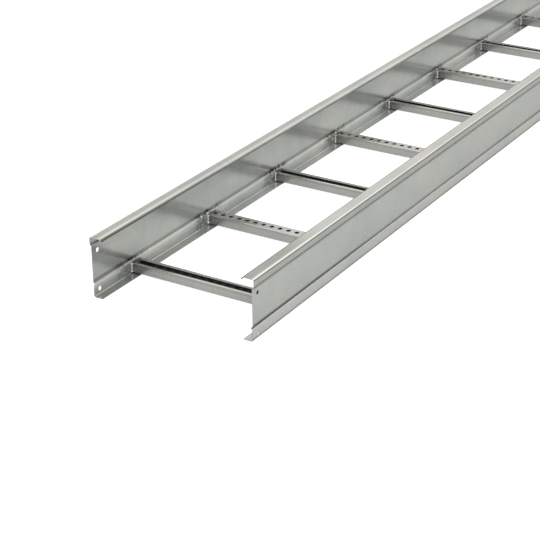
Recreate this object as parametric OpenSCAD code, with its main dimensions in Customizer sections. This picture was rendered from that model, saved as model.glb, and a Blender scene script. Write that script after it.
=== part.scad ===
// Cable ladder section: two roll-formed side rails joined by ten welded
// channel rungs, five with the open side up and five turned over.
// X runs across the ladder, Y along it and Z is up. The origin is at the
// middle of the ladder, on the plane that the bottom flanges stand on.

/* [Ladder] */
// Overall width across the side rails
width = 404; // [200:1:900]
// Distance between the centres of neighbouring rungs
rung_pitch = 300; // [150:10:300]

/* [Side rail] */
// Overall height of a side rail
rail_h = 139; // [134:1:180]
// Sheet thickness of a side rail
rail_t = 1.5; // [1.2:0.1:2.0]
// Width of the top flange
top_flange = 31; // [22:0.5:33]
// Width of the bottom flange
bottom_flange = 27; // [20:1:34]
// Outside radius of the bends between web and flanges
bend_r = 4.5; // [3.5:0.5:6]
// Outside radius of the rolled lip on the top flange
lip_r = 6; // [4:0.5:7]
// Straight end of that lip
lip_end = 0.5; // [0.5:0.5:4]
// How far the main panel stands in from the top band
panel_in = 3.6; // [2.4:0.1:3.8]
// How far the lower band stands in from the top band
low_in = 4.2; // [3.4:0.1:4.6]
// How far the bottom of the bead stands in from the top band
bead_in = 7.2; // [6.0:0.1:7.6]
// Height of the bead's sharp upper edge
bead_z = 33.8; // [33.6:0.2:44]

/* [Coupling holes] */
// Diameter of the coupling holes
coupling_d = 10; // [7:0.5:12]
// Distance from a rail's end to its coupling holes
coupling_end = 19.5; // [12:0.5:40]
// Height of the lower coupling hole
coupling_low = 13; // [12:0.5:16]
// Height between the two coupling holes of an end
coupling_step = 90; // [60:1:94]

/* [Rung] */
// Width of a rung, along the ladder
rung_w = 32.4; // [32:0.2:42]
// Height of a rung
rung_h = 23; // [20:0.5:23]
// Sheet thickness of a rung
rung_t = 1.5; // [1.0:0.1:2.0]
// Height of a rung's underside over the ladder's base
rung_z = 3.2; // [2.8:0.1:3.4]
// Width of the channel's open slot
slot_w = 22; // [16:0.5:24]
// Depth of the lips turned into the channel
rung_lip = 3.5; // [2.5:0.5:6]
// Outside radius of the rung bends
rung_r = 2.5; // [2.2:0.1:3]

/* [Rung holes] */
// Holes in the back of each rung
holes = 18; // [2:2:18]
// Distance between neighbouring holes
hole_pitch = 22; // [16:1:22]
// Diameter of a hole
hole_d = 11; // [7:0.5:13]

/* [Hidden] */
$fn = 64;
rungs = 10;
length = rungs * rung_pitch;
face_in = low_in + rail_t;
rung_len = width - 2 * face_in;

// Unit vector to the right of the way from a to b
function right_of(a, b) = [b[1] - a[1], a[0] - b[0]] / norm(b - a);

// Shift of corner i of an open path, so that its sides move by t to the right
function mitre(p, i, t) =
    let (n = len(p),
         u = right_of(p[max(i - 1, 0)], p[max(i, 1)]),
         v = right_of(p[min(i, n - 2)], p[min(i + 1, n - 1)]))
    t * (u + v) / (1 + u * v);

// Flat strip of thickness t along a path of straight runs
module strip(p, t) {
    polygon(concat([for (i = [0 : len(p) - 1]) p[i] + mitre(p, i, t)],
                   [for (i = [len(p) - 1 : -1 : 0]) p[i]]));
}

// Quarter of a ring round (x, y): the outside corner of a bend, in the
// quadrant that sx and sy point to
module bend(x, y, r, t, sx, sy) {
    translate([x, y]) intersection() {
        difference() {
            circle(r = r);
            circle(r = r - t);
        }
        translate([sx > 0 ? 0 : -r, sy > 0 ? 0 : -r]) square(r);
    }
}

// Side rail section: u runs inward from the outermost face, z is up
module rail_section() {
    r = bend_r;
    // web, from the bottom bend to the top bend
    strip([[low_in, r], [low_in, bead_z - 6.4], [bead_in, bead_z - 4.4],
           [bead_in, bead_z - 3], [panel_in, bead_z],
           [panel_in, rail_h - 22.5], [0, rail_h - 16.5], [0, rail_h - r]], rail_t);
    // bottom bend and flange
    bend(low_in + r, r, r, rail_t, -1, -1);
    translate([low_in + r, 0]) square([bottom_flange - low_in - r, rail_t]);
    // top bend, flange and rolled lip
    bend(r, rail_h - r, r, rail_t, -1, 1);
    translate([r, rail_h - rail_t]) square([top_flange - r - lip_r, rail_t]);
    bend(top_flange - lip_r, rail_h - lip_r, lip_r, rail_t, 1, 1);
    translate([top_flange - rail_t, rail_h - lip_r - lip_end]) square([rail_t, lip_end]);
}

// Left side rail, with two coupling holes at each end
module rail() {
    difference() {
        translate([-width / 2, length / 2, 0]) rotate([90, 0, 0])
            linear_extrude(height = length) rail_section();
        for (y = [-1, 1], z = [coupling_low, coupling_low + coupling_step])
            translate([-width / 2 - 1, y * (length / 2 - coupling_end), z])
                rotate([0, 90, 0]) cylinder(d = coupling_d, h = 8);
    }
}

// Rung section with the open side up: y is across the rung, z is up
module rung_section() {
    w = rung_w / 2;
    r = rung_r;
    for (s = [-1, 1]) {
        // side wall
        translate([s > 0 ? w - rung_t : -w, r]) square([rung_t, rung_h - 2 * r]);
        bend(s * (w - r), r, r, rung_t, s, -1);
        bend(s * (w - r), rung_h - r, r, rung_t, s, 1);
        // lip and its turned-in edge
        translate([s > 0 ? slot_w / 2 : r - w, rung_h - rung_t])
            square([w - r - slot_w / 2, rung_t]);
        translate([s > 0 ? slot_w / 2 : -slot_w / 2 - rung_t, rung_h - rung_lip])
            square([rung_t, rung_lip]);
    }
    // back of the channel
    translate([r - w, 0]) square([rung_w - 2 * r, rung_t]);
}

// Row of round holes through the back of the channel
module hole_row() {
    for (i = [0 : holes - 1])
        translate([(i - (holes - 1) / 2) * hole_pitch, 0, -1])
            cylinder(d = hole_d, h = rung_t + 2);
}

// One rung, centred on the ladder's base line, with its open side up
module channel() {
    difference() {
        translate([-rung_len / 2, 0, 0]) rotate([90, 0, 90])
            linear_extrude(height = rung_len) rung_section();
        hole_row();
    }
}

// Rung number n, counted from the near end: odd rungs open upward, even
// rungs are turned over so that their back and its holes are on top
module rung(n) {
    translate([0, (n - (rungs + 1) / 2) * rung_pitch, rung_z])
        if (n % 2 == 1) channel();
        else translate([0, 0, rung_h]) rotate([180, 0, 0]) channel();
}

module side_rail_left() { color([0.70, 0.71, 0.71]) rail(); }
module side_rail_right() { color([0.70, 0.71, 0.71]) mirror([1, 0, 0]) rail(); }
module rung_01() { color([0.64, 0.65, 0.65]) rung(1); }
module rung_02() { color([0.64, 0.65, 0.65]) rung(2); }
module rung_03() { color([0.64, 0.65, 0.65]) rung(3); }
module rung_04() { color([0.64, 0.65, 0.65]) rung(4); }
module rung_05() { color([0.64, 0.65, 0.65]) rung(5); }
module rung_06() { color([0.64, 0.65, 0.65]) rung(6); }
module rung_07() { color([0.64, 0.65, 0.65]) rung(7); }
module rung_08() { color([0.64, 0.65, 0.65]) rung(8); }
module rung_09() { color([0.64, 0.65, 0.65]) rung(9); }
module rung_10() { color([0.64, 0.65, 0.65]) rung(10); }

side_rail_left();
side_rail_right();
rung_01();
rung_02();
rung_03();
rung_04();
rung_05();
rung_06();
rung_07();
rung_08();
rung_09();
rung_10();
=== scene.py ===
import math
import random

import bmesh
import bpy
from mathutils import Matrix, Vector


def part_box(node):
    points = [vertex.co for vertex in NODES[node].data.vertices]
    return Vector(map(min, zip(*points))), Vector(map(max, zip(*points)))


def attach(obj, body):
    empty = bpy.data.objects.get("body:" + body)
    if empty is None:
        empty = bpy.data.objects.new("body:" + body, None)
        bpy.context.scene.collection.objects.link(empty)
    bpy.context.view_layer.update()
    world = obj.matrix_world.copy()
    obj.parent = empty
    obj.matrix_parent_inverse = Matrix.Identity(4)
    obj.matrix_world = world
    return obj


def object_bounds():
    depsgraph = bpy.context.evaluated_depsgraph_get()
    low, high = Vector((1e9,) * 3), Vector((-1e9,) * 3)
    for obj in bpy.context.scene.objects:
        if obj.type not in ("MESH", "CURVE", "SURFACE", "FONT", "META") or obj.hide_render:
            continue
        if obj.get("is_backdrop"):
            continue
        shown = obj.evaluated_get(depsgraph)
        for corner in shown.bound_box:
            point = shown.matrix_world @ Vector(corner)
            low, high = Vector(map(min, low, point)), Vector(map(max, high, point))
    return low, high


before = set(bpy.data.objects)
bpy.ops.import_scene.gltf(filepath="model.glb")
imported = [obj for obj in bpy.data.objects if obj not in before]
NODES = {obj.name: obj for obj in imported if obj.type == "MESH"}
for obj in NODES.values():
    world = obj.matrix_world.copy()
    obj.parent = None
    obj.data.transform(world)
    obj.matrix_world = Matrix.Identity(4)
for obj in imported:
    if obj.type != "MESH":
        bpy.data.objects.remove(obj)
scene = bpy.context.scene
cad_lo, cad_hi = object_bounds()


# ---------------------------------------------------------------- camera
def make_camera():
    data = bpy.data.cameras.new("camera")
    cam = bpy.data.objects.new("camera", data)
    scene.collection.objects.link(cam)
    data.sensor_width = 36.0
    data.lens = 106.655
    data.clip_start, data.clip_end = 0.1, 60.0
    look = Vector((-0.4744811, 0.7663208, -0.4331513)).normalized()
    up = Vector((-0.2192410, 0.3736842, 0.9012733))
    right = look.cross(up).normalized()
    up = right.cross(look).normalized()
    m = Matrix((right, up, -look)).transposed().to_4x4()
    m.translation = Vector((1.70971, cad_lo.y - 2.37463, 1.51192))
    cam.matrix_world = m
    scene.camera = cam


make_camera()


# ---------------------------------------------------------------- node helpers
class Tree:
    """Small helper round a node tree: add nodes, wire them, keep the code short."""

    def __init__(self, tree):
        self.t = tree

    def add(self, kind, **sets):
        n = self.t.nodes.new(kind)
        for k, v in sets.items():
            setattr(n, k, v)
        return n

    def wire(self, a, b):
        self.t.links.new(a, b)

    def math(self, op, a, b=None, c=None, clamp=False):
        n = self.add("ShaderNodeMath", operation=op, use_clamp=clamp)
        for i, v in enumerate((a, b, c)):
            if v is None:
                continue
            if isinstance(v, (int, float)):
                n.inputs[i].default_value = v
            else:
                self.wire(v, n.inputs[i])
        return n.outputs[0]

    def remap(self, v, a, b, c, d, clamp=True):
        n = self.add("ShaderNodeMapRange", clamp=clamp)
        self.wire(v, n.inputs["Value"])
        for k, x in zip(("From Min", "From Max", "To Min", "To Max"), (a, b, c, d)):
            n.inputs[k].default_value = x
        return n.outputs["Result"]

    def coords(self, scale=(1, 1, 1), offset=(0, 0, 0)):
        tc = self.add("ShaderNodeTexCoord")
        mp = self.add("ShaderNodeMapping")
        mp.inputs["Scale"].default_value = scale
        mp.inputs["Location"].default_value = offset
        self.wire(tc.outputs["Object"], mp.inputs["Vector"])
        return mp.outputs["Vector"]

    def noise(self, vec, scale, detail=3.0, rough=0.55, distort=0.0):
        n = self.add("ShaderNodeTexNoise")
        self.wire(vec, n.inputs["Vector"])
        n.inputs["Scale"].default_value = scale
        n.inputs["Detail"].default_value = detail
        n.inputs["Roughness"].default_value = rough
        n.inputs["Distortion"].default_value = distort
        return n.outputs["Fac"]


def band(t, v, lo, hi, soft):
    """1 where v lies between lo and hi, with soft edges."""
    a = t.remap(v, lo - soft, lo + soft, 0.0, 1.0)
    b = t.remap(v, hi - soft, hi + soft, 1.0, 0.0)
    return t.math("MULTIPLY", a, b)


def new_material(name):
    m = bpy.data.materials.new(name)
    m.use_nodes = True
    t = Tree(m.node_tree)
    m.node_tree.nodes.clear()
    out = t.add("ShaderNodeOutputMaterial")
    bsdf = t.add("ShaderNodeBsdfPrincipled")
    t.wire(bsdf.outputs["BSDF"], out.inputs["Surface"])
    return m, t, bsdf


def galvanised(name, tint, rough, along, seed, spangle=1.0, shade=None, matte=None,
               metal=1.0, grain=1.0, clouds=0.06):
    """Zinc-coated strip steel: faint crystals, cloudy patches, mill lines along the
    rolling direction, small scuffs, and softly rounded sheet edges."""
    m, t, bsdf = new_material(name)
    off = (seed * 3.1, seed * 1.7, seed * 2.3)
    plain = t.coords(offset=off)
    stretch = [220.0, 220.0, 220.0]
    stretch[along] = 2.2
    lines = t.noise(t.coords(scale=tuple(stretch), offset=off), 1.0, 4.0, 0.6)
    fine = [900.0, 900.0, 900.0]
    fine[along] = 9.0
    hair = t.noise(t.coords(scale=tuple(fine), offset=off), 1.0, 2.0, 0.5)

    # zinc crystals
    wob = t.add("ShaderNodeVectorMath", operation="SCALE")
    nz = t.add("ShaderNodeTexNoise")
    t.wire(plain, nz.inputs["Vector"])
    nz.inputs["Scale"].default_value = 60.0
    nz.inputs["Detail"].default_value = 2.0
    t.wire(nz.outputs["Color"], wob.inputs[0])
    wob.inputs["Scale"].default_value = 0.010
    wobbled = t.add("ShaderNodeVectorMath", operation="ADD")
    t.wire(plain, wobbled.inputs[0])
    t.wire(wob.outputs[0], wobbled.inputs[1])
    vor = t.add("ShaderNodeTexVoronoi", feature="F1")
    t.wire(wobbled.outputs[0], vor.inputs["Vector"])
    vor.inputs["Scale"].default_value = 95.0
    sep = t.add("ShaderNodeSeparateColor")
    t.wire(vor.outputs["Color"], sep.inputs["Color"])
    crystal = sep.outputs["Red"]

    cloud = t.noise(plain, 5.0, 4.0, 0.6, 0.3)
    mottle = t.noise(plain, 34.0, 5.0, 0.62, 0.6)
    scuff = t.noise(t.coords(scale=(30, 30, 30), offset=(off[1], off[0], off[2])), 1.0, 8.0, 0.72, 1.2)
    scuffs = t.remap(scuff, 0.63, 0.74, 0.0, 1.0)

    # value: 1.0 is the plain zinc tone
    v = t.remap(cloud, 0.3, 0.7, -clouds, clouds)
    v = t.math("ADD", v, t.remap(mottle, 0.3, 0.7, -0.04 * grain, 0.04 * grain))
    v = t.math("ADD", v, t.remap(crystal, 0.0, 1.0, -0.028 * spangle, 0.028 * spangle))
    v = t.math("ADD", v, t.remap(lines, 0.3, 0.7, -0.018 * grain, 0.018 * grain))
    v = t.math("ADD", v, t.math("MULTIPLY", scuffs, 0.05))
    v = t.math("ADD", v, 1.0)
    # painted light and shade from the shade function go into the colour here
    if shade:
        v = t.math("MULTIPLY", v, shade(t))
    dry = matte(t) if matte else None
    if dry:
        v = t.math("MULTIPLY", v, t.remap(dry, 0.0, 1.0, 1.0, 1.45))
    mix = t.add("ShaderNodeMix", data_type="RGBA", blend_type="MIX")
    t.wire(t.remap(cloud, 0.35, 0.65, 0.0, 1.0), mix.inputs["Factor"])
    cool = (tint[0] * 0.965, tint[1] * 1.0, tint[2] * 1.012, 1)
    warm = (tint[0] * 1.022, tint[1] * 0.998, tint[2] * 0.982, 1)
    mix.inputs["A"].default_value = cool
    mix.inputs["B"].default_value = warm
    mul = t.add("ShaderNodeVectorMath", operation="SCALE")
    t.wire(mix.outputs["Result"], mul.inputs[0])
    t.wire(v, mul.inputs["Scale"])
    t.wire(mul.outputs[0], bsdf.inputs["Base Color"])

    if dry:
        t.wire(t.remap(dry, 0.0, 1.0, metal, 0.1), bsdf.inputs["Metallic"])
    else:
        bsdf.inputs["Metallic"].default_value = metal
    r = t.remap(crystal, 0.0, 1.0, -0.022 * grain, 0.022 * grain)
    r = t.math("ADD", r, t.remap(mottle, 0.3, 0.7, -0.03 * grain, 0.03 * grain))
    r = t.math("ADD", r, t.remap(hair, 0.3, 0.7, -0.012, 0.012))
    r = t.math("ADD", r, t.math("MULTIPLY", scuffs, 0.06))
    r = t.math("ADD", r, rough, clamp=True)
    t.wire(r, bsdf.inputs["Roughness"])

    bev = t.add("ShaderNodeBevel", samples=4)
    bev.inputs["Radius"].default_value = 0.0005
    slow = [7.0, 7.0, 7.0]
    slow[along] = 3.0
    wave = t.add("ShaderNodeBump")
    wave.inputs["Strength"].default_value = 0.30
    wave.inputs["Distance"].default_value = 0.0020
    t.wire(t.noise(t.coords(scale=tuple(slow), offset=off), 1.0, 2.0, 0.5, 0.4), wave.inputs["Height"])
    t.wire(bev.outputs["Normal"], wave.inputs["Normal"])
    b1 = t.add("ShaderNodeBump")
    b1.inputs["Strength"].default_value = 0.12 * grain
    b1.inputs["Distance"].default_value = 0.0006
    t.wire(mottle, b1.inputs["Height"])
    t.wire(wave.outputs["Normal"], b1.inputs["Normal"])
    b2 = t.add("ShaderNodeBump")
    b2.inputs["Strength"].default_value = 0.10 * grain
    b2.inputs["Distance"].default_value = 0.00012
    t.wire(lines, b2.inputs["Height"])
    t.wire(b1.outputs["Normal"], b2.inputs["Normal"])
    b3 = t.add("ShaderNodeBump")
    b3.inputs["Strength"].default_value = 0.06 * grain
    b3.inputs["Distance"].default_value = 0.0001
    t.wire(crystal, b3.inputs["Height"])
    t.wire(b2.outputs["Normal"], b3.inputs["Normal"])
    t.wire(b3.outputs["Normal"], bsdf.inputs["Normal"])
    return m


def place(t):
    """Object position and face direction as single values."""
    tc = t.add("ShaderNodeTexCoord")
    p = t.add("ShaderNodeSeparateXYZ")
    t.wire(tc.outputs["Object"], p.inputs[0])
    g = t.add("ShaderNodeNewGeometry")
    n = t.add("ShaderNodeSeparateXYZ")
    t.wire(g.outputs["True Normal"], n.inputs[0])
    return p.outputs, n.outputs


def rail_shade(side):
    """Painted light and shade on a side rail: outside, painted shade in the bead's groove, along the upper
    step, along the foot and over the top band, with painted highlights on the top corner and the lower band;
    inside, painted shade over the bead and under the lip, mottled painted shade beside each rung end, painted
    highlights below the bead, and top and bottom flanges painted darker or lighter along the rail."""
    def shade(t):
        p, n = place(t)
        outward = t.remap(t.math("MULTIPLY", n[0], float(side)), 0.05, 0.35, 0.0, 1.0)
        inward = t.remap(t.math("MULTIPLY", n[0], float(-side)), 0.05, 0.35, 0.0, 1.0)
        z = p[2]
        tc = t.add("ShaderNodeTexCoord")
        spots = t.noise(tc.outputs["Object"], 95.0, 6.0, 0.70, 1.0)
        streak = t.noise(t.coords(scale=(40, 3.0, 40)), 1.0, 3.0, 0.6)
        # outside: painted shade in the bead's groove (strongest at the near end), along the upper step, along
        # the foot and over the top band, and a painted highlight along the top corner
        bead = t.math("MULTIPLY", t.remap(streak, 0.3, 0.7, 0.60, 0.80),
                      t.math("MULTIPLY", band(t, z, 0.0286, 0.0374, 0.0015),
                             t.remap(p[1], -1.25, -0.95, 1.0, 0.45)))
        joggle = t.math("ADD", t.math("MULTIPLY", band(t, z, 0.1162, 0.1238, 0.0008), 0.54),
                        t.math("MULTIPLY", band(t, z, 0.1136, 0.1162, 0.0010), 0.28))
        joggle = t.math("MULTIPLY", joggle, t.remap(streak, 0.3, 0.7, 0.84, 1.16))
        foot = t.math("MULTIPLY", band(t, z, -0.01, 0.0040, 0.0010), 0.72)
        crown = t.math("ADD", t.math("MULTIPLY", band(t, z, 0.1225, 0.1372, 0.0008), 0.15),
                       t.math("MULTIPLY", band(t, z, 0.1345, 0.1368, 0.0006), 0.26))
        crown = t.math("SUBTRACT", crown, t.math("MULTIPLY", band(t, z, 0.1376, 0.1396, 0.0003), 0.22))
        out = t.math("ADD", t.math("ADD", bead, joggle), t.math("ADD", foot, crown))
        # painted highlight: the lower band outside is painted lighter than the panel
        out = t.math("SUBTRACT", out, t.math("MULTIPLY", band(t, z, 0.0055, 0.0270, 0.0012), 0.22))
        # painted shade: the outside darkens slowly towards the far end
        out = t.math("ADD", out, t.remap(p[1], -1.25, -0.50, 0.0, 0.08))
        # inside: painted shade over the bead's ridge, in the crease above it, towards the top and at the near
        # end, with painted highlights just below the ridge and on the lower band
        ledge = t.math("ADD", t.math("MULTIPLY", band(t, z, 0.0332, 0.0352, 0.0010), 0.50),
                       t.math("MULTIPLY", band(t, z, 0.0318, 0.0332, 0.0008), 0.16))
        above = t.math("MULTIPLY", band(t, z, 0.0350, 0.0415, 0.0018), 0.38)
        above = t.math("ADD", above, t.remap(z, 0.065, 0.095, 0.0, 0.08))
        above = t.math("SUBTRACT", above, t.math("MULTIPLY", band(t, z, 0.0250, 0.0305, 0.0012), 0.42))
        above = t.math("ADD", above, t.math("MULTIPLY", t.remap(p[1], -1.37, -1.30, 0.20, 0.0),
                                            band(t, z, 0.0, 0.0700, 0.0200)))
        above = t.math("SUBTRACT", above,
                       t.math("MULTIPLY", band(t, z, 0.0060, 0.0300, 0.0015), 0.20))
        # painted shade: mottled darker and lighter patches on either side of each rung end
        w = t.math("WRAP", p[1], 0.15, -0.15)
        before = t.math("MULTIPLY", t.remap(w, 0.070, 0.105, 0.0, 1.0), t.remap(w, 0.1500, 0.1510, 1.0, 0.0))
        after = t.math("MULTIPLY", t.remap(w, -0.125, -0.105, 1.0, 0.0), 0.6)
        near = t.math("ADD", before, t.math("MULTIPLY", after, t.remap(w, -0.001, 0.001, 1.0, 0.0)))
        rung_end_shade = t.math("MULTIPLY", t.math("MULTIPLY", near, band(t, z, 0.003, 0.042, 0.006)),
                      t.remap(spots, 0.34, 0.60, -0.30, 0.86))
        rung_end_shade = t.math("MULTIPLY", rung_end_shade, t.remap(p[1], -1.30, -1.20, 0.55, 1.0))
        # painted shade on the small turned-down lip of the top flange, strongest towards the near end
        lip = t.math("MULTIPLY", band(t, z, 0.1300, 0.1384, 0.0003),
                     t.remap(t.math("ABSOLUTE", p[0]), 0.1740, 0.1748, 1.0, 0.0))
        lip = t.math("MULTIPLY", lip, t.remap(p[1], -1.45, -0.80, 0.62, 0.20))
        ins = t.math("ADD", t.math("ADD", ledge, above), t.math("ADD", rung_end_shade, lip))
        out = t.math("MULTIPLY", out, outward)
        ins = t.math("MULTIPLY", ins, inward)
        up = t.remap(n[2], 0.80, 0.97, 0.0, 1.0)
        on_top = t.math("MULTIPLY", up, band(t, z, 0.1380, 1.0, 0.0004))
        # flanges: the left top flange painted darker with a painted highlight along its outer edge, the right
        # one painted darker at its near end, and the bottom flange painted darker near the near end and, on the
        # right, lighter further on
        if side < 0:
            ax = t.math("ABSOLUTE", p[0])
            fade = t.remap(p[1], -1.5, -0.6, 0.42, 0.32)
            fade = t.math("MULTIPLY", fade, t.remap(ax, 0.1790, 0.1850, 0.1, 1.0))
            fade = t.math("SUBTRACT", fade, t.remap(ax, 0.1945, 0.1975, 0.0, 0.62))
            flange = t.math("MULTIPLY", on_top, fade)
        else:
            ax = t.math("ABSOLUTE", p[0])
            patch = t.math("MULTIPLY", t.remap(p[1], -1.36, -1.22, 1.0, 0.0),
                           t.remap(ax, 0.193, 0.198, 1.0, 0.0))
            flange = t.math("MULTIPLY", t.math("MULTIPLY", on_top, patch), 0.40)
        low = t.math("MULTIPLY", up, band(t, z, 0.0005, 0.0030, 0.0003))
        flange = t.math("ADD", flange, t.math("MULTIPLY", low, t.remap(p[1], -1.5, -0.9, 0.50, 0.00) if side < 0
                                            else t.remap(p[1], -1.5, -0.9, 0.28, -0.22)))
        total = t.math("ADD", t.math("ADD", out, ins), flange)
        return t.math("SUBTRACT", 1.0, total)
    return shade


def rung_shade(n_rung):
    """Painted shade on a rung: the inside of its channel is painted dark, with mottled painted shade near its
    ends and a painted dark line under the top edge; its outside and cut lips stay bright.
    """
    lo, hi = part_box(f"rung_{n_rung:02d}")
    yc = (lo[1] + hi[1]) / 2
    half = (hi[1] - lo[1]) / 2
    open_up = n_rung % 2 == 1

    def shade(t):
        p, n = place(t)
        # depth below the open side, and distance from the rung's middle plane
        if open_up:
            depth = t.math("SUBTRACT", hi[2], p[2])
        else:
            depth = t.math("SUBTRACT", p[2], lo[2])
        tall = hi[2] - lo[2]
        dy = t.math("ABSOLUTE", t.math("SUBTRACT", p[1], yc))
        wall = t.math("MULTIPLY", band(t, dy, 0.0122, half - 0.0007, 0.0003),
                      band(t, depth, 0.0009, tall - 0.0008, 0.0003))
        base = t.math("MULTIPLY", band(t, dy, -1.0, 0.0122, 0.0003),
                      band(t, depth, 0.0045, tall - 0.0008, 0.0003))
        # painted shade: the inside of the channel is painted dark
        inside = t.math("ADD", wall, base, clamp=True)
        inside = t.math("MULTIPLY", inside, 0.76 if open_up else 0.86)
        # painted shade: mottled darkening towards both ends, next to the welds
        ax = t.math("ABSOLUTE", p[0])
        tc = t.add("ShaderNodeTexCoord")
        spots = t.noise(tc.outputs["Object"], 90.0, 5.0, 0.65, 0.8)
        rung_marks_shade = t.math("MULTIPLY", t.remap(ax, 0.170, 0.192, 0.0, 1.0),
                      t.remap(spots, 0.38, 0.6, 0.0, 0.40))
        # painted shade: a faint dark line along both side faces, just under the top edge
        line = t.math("MULTIPLY", t.math("GREATER_THAN", dy, half - 0.0004),
                      band(t, p[2], lo[2] + 0.0158, lo[2] + 0.0195, 0.0008))
        rung_marks_shade = t.math("ADD", rung_marks_shade, t.math("MULTIPLY", line, 0.17 if open_up else 0.12))
        if n_rung in (1, 5):
            # on these the near lip is rolled a little lower; its inner half is painted darker as painted shade
            near = band(t, t.math("SUBTRACT", yc, p[1]), 0.0105, 0.0136, 0.0006)
            rung_marks_shade = t.math("ADD", rung_marks_shade, t.math("MULTIPLY", near, t.math("MULTIPLY", 0.55,
                          band(t, p[2], hi[2] - 0.0020, hi[2] + 0.0010, 0.0003))))
        rung_unshaded = t.math("SUBTRACT", 1.0, rung_marks_shade)
        return t.math("MULTIPLY", rung_unshaded, t.math("SUBTRACT", 1.0, inside))
    return shade


def lip_matte(n_rung):
    """The turned-in lips of a channel are sheared edges: dull grey, not shiny."""
    lo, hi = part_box(f"rung_{n_rung:02d}")
    yc = (lo[1] + hi[1]) / 2
    open_up = n_rung % 2 == 1

    def matte(t):
        p, n = place(t)
        if open_up:
            depth = t.math("SUBTRACT", hi[2], p[2])
        else:
            depth = t.math("SUBTRACT", p[2], lo[2])
        dy = t.math("ABSOLUTE", t.math("SUBTRACT", p[1], yc))
        return t.math("MULTIPLY", band(t, dy, 0.0104, 0.0122, 0.0003), band(t, depth, 0.0004, 0.0040, 0.0003))
    return matte


# the left rail's zinc is the same zinc painted darker: a painted-shade copy for the left rail
ZINC = (0.398, 0.408, 0.402)
ZINC_LEFT_SHADED = (0.364, 0.380, 0.374)
ZINC_RUNG = (0.362, 0.365, 0.358)
rail_mats = {
    "side_rail_left": galvanised("zinc_rail_left", ZINC_LEFT_SHADED, 0.17, 1, 1, 0.3, rail_shade(-1),
                                 metal=0.60, grain=1.3, clouds=0.12),
    "side_rail_right": galvanised("zinc_rail_right", ZINC, 0.26, 1, 2, 0.1, rail_shade(1),
                                  grain=0.3, clouds=0.075),
}
for i in range(1, 11):
    rail_mats[f"rung_{i:02d}"] = galvanised(f"zinc_rung_{i:02d}", ZINC_RUNG, 0.28, 0, 3 + i, 0.4,
                                            rung_shade(i), lip_matte(i), metal=0.78)
for name, mat in rail_mats.items():
    o = NODES[name]
    for s in o.material_slots:
        s.material = mat


# ---------------------------------------------------------------- weld beads
def weld_material():
    m, t, bsdf = new_material("zinc_weld")
    p = t.coords()
    n = t.noise(p, 420.0, 4.0, 0.6, 0.4)
    mul = t.add("ShaderNodeVectorMath", operation="SCALE")
    mul.inputs[0].default_value = (0.72, 0.72, 0.70)
    t.wire(t.remap(n, 0.3, 0.7, 0.85, 1.12), mul.inputs["Scale"])
    t.wire(mul.outputs[0], bsdf.inputs["Base Color"])
    bsdf.inputs["Metallic"].default_value = 1.0
    t.wire(t.remap(n, 0.3, 0.7, 0.34, 0.5), bsdf.inputs["Roughness"])
    b = t.add("ShaderNodeBump")
    b.inputs["Strength"].default_value = 0.5
    b.inputs["Distance"].default_value = 0.0004
    t.wire(n, b.inputs["Height"])
    t.wire(b.outputs["Normal"], bsdf.inputs["Normal"])
    return m


def bead(bm, start, end, dir_a, dir_b, leg, rng, blob_start=1.0, blob_end=1.0):
    """Fillet weld: a rippled convex strip in the corner between two faces. dir_a and
    dir_b point from the corner along the two faces."""
    start, end = Vector(start), Vector(end)
    n = max(10, int((end - start).length / 0.0006))
    a, b = Vector(dir_a), Vector(dir_b)
    rows = []
    phase = rng.random() * 6.28
    for i in range(n + 1):
        f = i / n
        size = leg * (1 + 0.10 * math.sin(phase + f * n * 0.95) + 0.08 * (rng.random() - 0.5))
        size *= 1 + 0.8 * blob_start * math.exp(-((f / 0.11) ** 2)) + 0.8 * blob_end * math.exp(-(((1 - f) / 0.13) ** 2))
        if i in (0, n):
            size *= 0.45
        p = start.lerp(end, f)
        ring = []
        for k in range(7):
            th = math.pi / 2 * k / 6
            bulge = 1 - 0.20 * math.sin(2 * th)
            q = p + a * (size * math.cos(th) * bulge) + b * (size * math.sin(th) * bulge)
            ring.append(bm.verts.new(q))
        ring.append(bm.verts.new(p - (a + b) * 0.0002))
        rows.append(ring)
    for r0, r1 in zip(rows, rows[1:]):
        m = len(r0)
        for k in range(m):
            bm.faces.new((r0[k], r0[(k + 1) % m], r1[(k + 1) % m], r1[k]))
    bm.faces.new(rows[0])
    bm.faces.new(list(reversed(rows[-1])))


weld_mat = weld_material()
rng = random.Random(11)
for side, s in (("left", -1), ("right", 1)):
    bm = bmesh.new()
    for i in range(1, 11):
        lo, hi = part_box(f"rung_{i:02d}")
        lo, hi = Vector(lo), Vector(hi)
        x = (lo.x if s < 0 else hi.x)
        for y, d in ((lo.y, -1), (hi.y, 1)):
            bead(bm, (x, y, lo.z + 0.0012), (x, y, hi.z - 0.0012), (-s, 0, 0), (0, d, 0), 0.0024, rng)
            # spatter: small flattened drops on the rail beside the weld, fewer further out
            for _ in range(14):
                away = 0.004 + 0.040 * rng.random() ** 1.8
                r = 0.0004 + 0.0007 * rng.random() ** 2
                at = (x - s * r * 0.25, y + d * away, lo.z + 0.003 + 0.019 * rng.random())
                flat = Matrix.Translation(at) @ Matrix.Diagonal((0.6, 1.0, 1.0, 1.0))
                bmesh.ops.create_icosphere(bm, subdivisions=1, radius=r, matrix=flat)
    bmesh.ops.recalc_face_normals(bm, faces=bm.faces)
    me = bpy.data.meshes.new(f"weld_beads_{side}")
    bm.to_mesh(me)
    bm.free()
    me.materials.append(weld_mat)
    for p in me.polygons:
        p.use_smooth = True
    o = bpy.data.objects.new(f"weld_beads_{side}", me)
    scene.collection.objects.link(o)
    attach(o, "root")


# ---------------------------------------------------------------- floor and light
FLOOR = 0.42
GLOW = 0.34


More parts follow.
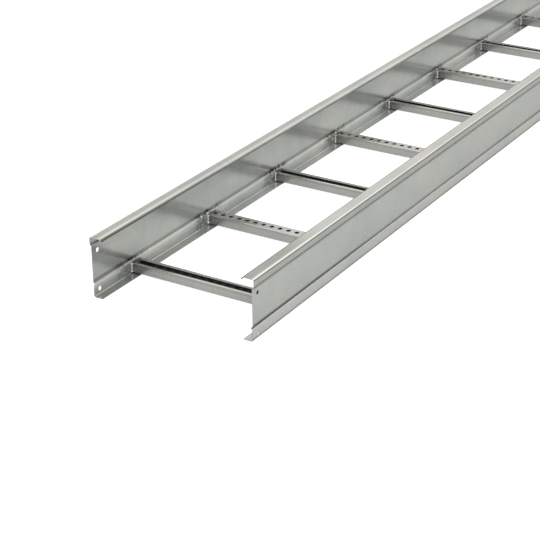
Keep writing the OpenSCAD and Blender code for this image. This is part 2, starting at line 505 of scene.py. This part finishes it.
def make_floor():
    me = bpy.data.meshes.new("floor")
    s = 30.0
    me.from_pydata([(-s, -s, 0), (s, -s, 0), (s, s, 0), (-s, s, 0)], [], [(0, 1, 2, 3)])
    o = bpy.data.objects.new("floor", me)
    scene.collection.objects.link(o)
    o.location.z = -0.0002
    m, t, bsdf = new_material("floor_white")
    bsdf.inputs["Base Color"].default_value = (0.34, 0.34, 0.34, 1)
    bsdf.inputs["Roughness"].default_value = 1.0
    bsdf.inputs["Specular IOR Level"].default_value = 0.0
    bsdf.inputs["Emission Color"].default_value = (1, 1, 1, 1)
    bsdf.inputs["Emission Strength"].default_value = 0.85
    # what the steel mirrors and is lit by is a plain pale floor with its real shading, plus a painted shadow:
    # its glow drops to almost nothing in a strip along each rail
    lit = t.add("ShaderNodeBsdfPrincipled")
    lit.inputs["Base Color"].default_value = (FLOOR * 0.98, FLOOR, FLOOR * 0.985, 1)
    tc = t.add("ShaderNodeTexCoord")
    p = t.add("ShaderNodeSeparateXYZ")
    t.wire(tc.outputs["Object"], p.inputs[0])
    gap = t.math("ABSOLUTE", t.math("SUBTRACT", t.math("ABSOLUTE", p.outputs[0]), 0.190))
    glow_with_painted_shadow = t.remap(gap, 0.0125, 0.0160, 0.02, GLOW)
    lit.inputs["Roughness"].default_value = 1.0
    lit.inputs["Specular IOR Level"].default_value = 0.0
    lit.inputs["Emission Color"].default_value = (0.98, 1, 0.99, 1)
    t.wire(glow_with_painted_shadow, lit.inputs["Emission Strength"])
    path = t.add("ShaderNodeLightPath")
    pick = t.add("ShaderNodeMixShader")
    t.wire(path.outputs["Is Camera Ray"], pick.inputs[0])
    t.wire(lit.outputs[0], pick.inputs[1])
    t.wire(bsdf.outputs[0], pick.inputs[2])
    out = next(n for n in m.node_tree.nodes if n.type == "OUTPUT_MATERIAL")
    t.wire(pick.outputs[0], out.inputs["Surface"])
    me.materials.append(m)
    o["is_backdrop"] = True


def make_world():
    w = bpy.data.worlds.new("studio")
    scene.world = w
    w.use_nodes = True
    t = Tree(w.node_tree)
    w.node_tree.nodes.clear()
    out = t.add("ShaderNodeOutputWorld")
    bg = t.add("ShaderNodeBackground")
    tc = t.add("ShaderNodeTexCoord")
    sep = t.add("ShaderNodeSeparateXYZ")
    t.wire(tc.outputs["Generated"], sep.inputs[0])
    ramp = t.add("ShaderNodeValToRGB")
    t.wire(sep.outputs["Z"], ramp.inputs["Fac"])
    stops = ((0.0, 0.20), (0.12, 0.24), (0.21, 0.80), (0.29, 1.16), (0.43, 1.32), (0.60, 2.20), (1.0, 1.60))
    el = ramp.color_ramp.elements
    while len(el) < len(stops):
        el.new(0.5)
    for e, (pos, val) in zip(el, stops):
        e.position = pos
        e.color = (val, val, val, 1)
    t.wire(ramp.outputs["Color"], bg.inputs["Strength"])
    bg.inputs["Color"].default_value = (1.0, 0.972, 0.915, 1)
    # past the floor's far edge the backdrop is as white as the floor
    white = t.add("ShaderNodeBackground")
    white.inputs["Color"].default_value = (1, 1, 1, 1)
    white.inputs["Strength"].default_value = 1.1
    rays = t.add("ShaderNodeLightPath")
    pick = t.add("ShaderNodeMixShader")
    t.wire(rays.outputs["Is Camera Ray"], pick.inputs[0])
    t.wire(bg.outputs[0], pick.inputs[1])
    t.wire(white.outputs[0], pick.inputs[2])
    t.wire(pick.outputs[0], out.inputs["Surface"])


def softbox(name, loc, target, size, power, color=(1, 1, 1)):
    d = bpy.data.lights.new(name, "AREA")
    d.shape = "RECTANGLE"
    d.size, d.size_y = size
    d.energy = power
    d.color = color
    o = bpy.data.objects.new(name, d)
    scene.collection.objects.link(o)
    o.location = loc
    o.rotation_mode = "QUATERNION"
    o.rotation_quaternion = (Vector(target) - Vector(loc)).to_track_quat("-Z", "Y")


make_floor()
make_world()
softbox("key", (0.8, -1.4, 3.6), (0, -0.4, 0), (3.5, 5.0), 60.0)

scene.view_settings.view_transform = "Standard"
scene.view_settings.look = "None"

# ---------------------------------------------------------------- bounds
lo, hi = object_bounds()
